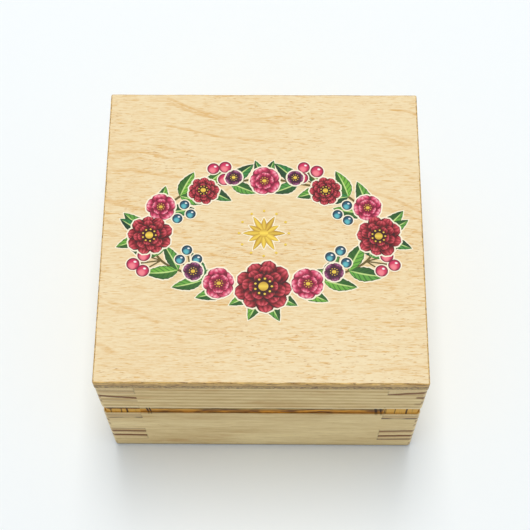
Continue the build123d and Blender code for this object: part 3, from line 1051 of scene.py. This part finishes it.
stems = [ribbon(path + MIDDLE, STEM_WIDTH) for path in (arc, arc * [-1, 1])]
film("wreath_stems", stems, LEVEL["stems"], INKS["stem"], [0.3, 0.6])
lines = twig_start[:, None] + (berry_at - twig_start)[:, None] * np.linspace(0, 1, 5)[None, :, None]
twigs = [ribbon(line, TWIG_WIDTH) for line in lines]
film("wreath_twigs", twigs, LEVEL["twigs"], INKS["stem"], 0.5)
outlines = leaves(leaf_at, leaf_heading, leaf_length + EDGE, leaf_width + 2 * EDGE, leaf_bend)
film("wreath_leaf_edges", outlines, LEVEL["leaf edges"], INKS["cream"], leaf_tint)
greens = leaves(leaf_at, leaf_heading, leaf_length, leaf_width, leaf_bend)
film("wreath_leaves", greens, LEVEL["leaves"], INKS["leaf"], leaf_tint)

teal = np.arange(len(berry_at)) % 2 == 0
berry_radius = np.where(teal, TEAL_RADIUS, ROSE_RADIUS) * rng.uniform(0.94, 1.06, len(berry_at))
outlines = discs(berry_at, berry_radius + BERRY_EDGE)
film("wreath_berry_edges", outlines, LEVEL["berry edges"], INKS["cream"])
for which, colour in ((teal, "teal"), (~teal, "pink")):
    balls = discs(berry_at[which], berry_radius[which])
    film(f"wreath_{colour}_berry", balls, LEVEL["berries"], INKS[f"{colour} berry"])

# %% Print the blossoms
RING_STEP = 0.035
FULL_HEART, SMALL_HEART = 0.34, 0.22
NOTCH = {"crimson": 0.0, "pink": 0.1, "plum": 0.1}


def ring_of_petals(flowers, count, part):
    """Places, headings, lengths and widths of a ring of petals on each flower, all a little at random."""
    spin = rng.uniform(0, 2 * math.pi, len(flowers))[:, None] + np.arange(count) * 2 * math.pi / count
    spin = (spin + rng.normal(0, 0.05, (len(flowers), count))).ravel()
    where = np.repeat(flowers[:, :2], count, axis=0) + MIDDLE
    length = part * np.repeat(flowers[:, 2], count) * rng.uniform(0.93, 1.05, count * len(flowers))
    width = length * 6.0 / (count + 0.6) * rng.uniform(0.96, 1.08, len(length))
    return where, spin, length, width


hearts = []
for kind, (flowers, petal_rings) in BLOSSOMS.items():
    flowers = np.array(flowers)
    for ring, (count, part) in enumerate(petal_rings):
        where, spin, length, width = ring_of_petals(flowers, count, part)
        if ring == 0:
            outlines = petals(where, spin, length + EDGE, width + 2 * EDGE, NOTCH[kind])
            film(f"wreath_{kind}_edges", outlines, LEVEL["petal edges"], INKS["cream"])
        tints = rng.uniform(0, 1, len(length))
        shapes = petals(where, spin, length, width, NOTCH[kind])
        film(f"wreath_{kind}_petals_{ring}", shapes, LEVEL["petals"] + RING_STEP * ring, INKS[kind], tints)
    heart_share = petal_rings[-1][1] * (FULL_HEART if len(petal_rings) > 2 else SMALL_HEART)
    hearts.append(np.column_stack([flowers[:, :2] + MIDDLE, flowers[:, 2] * heart_share]))
hearts = np.concatenate(hearts)

# %% Print the gold
STAMENS, STAMEN_RING, STAMEN_SIZE = 9, 1.7, 0.24
RAYS, LONG_RAY, SHORT_RAY, RAY_START = 12, 5.4, 4.3, 0.25
RAY_WIDTH, RAY_OUTLINE = 1.55, 2.2
DOT_RING, DOT_RADIUS, BUTTON_RADIUS = 6.6, 0.34, 1.15

centres = discs(hearts[:, :2], hearts[:, 2])
film("wreath_hearts", centres, LEVEL["hearts"], INKS["gold"], rng.uniform(0, 0.6, len(hearts)))
spokes = directions(np.arange(STAMENS) * 2 * math.pi / STAMENS)
stamen_at = hearts[:, None, :2] + hearts[:, None, 2:] * STAMEN_RING * spokes
stamens = discs(stamen_at.reshape(-1, 2), np.repeat(hearts[:, 2] * STAMEN_SIZE, STAMENS), 4)
film("wreath_stamens", stamens, LEVEL["stamens"], INKS["gold"], step=0.0)

# A small rosette in the middle: gold rays, each with an outline, and a ring of dots round them.
rays = np.arange(RAYS) * 2 * math.pi / RAYS
spokes = directions(rays)
start = MIDDLE + RAY_START * spokes
long = np.where(np.arange(RAYS) % 2 == 0, LONG_RAY, SHORT_RAY)
straight = np.zeros(RAYS)
outlines = leaves(start, rays, long + EDGE, straight + RAY_OUTLINE, straight)
film("rosette_edges", outlines, LEVEL["ray edges"], INKS["cream"])
golden = leaves(start, rays, long, straight + RAY_WIDTH, straight)
film("rosette_rays", golden, LEVEL["rays"], INKS["gold"], rng.uniform(0, 1, RAYS))
dot_at = np.concatenate([MIDDLE + DOT_RING * spokes, MIDDLE[None]])
dots = discs(dot_at, np.append(straight + DOT_RADIUS, BUTTON_RADIUS), 7)
film("rosette_dots", dots, LEVEL["dots"], INKS["gold"])
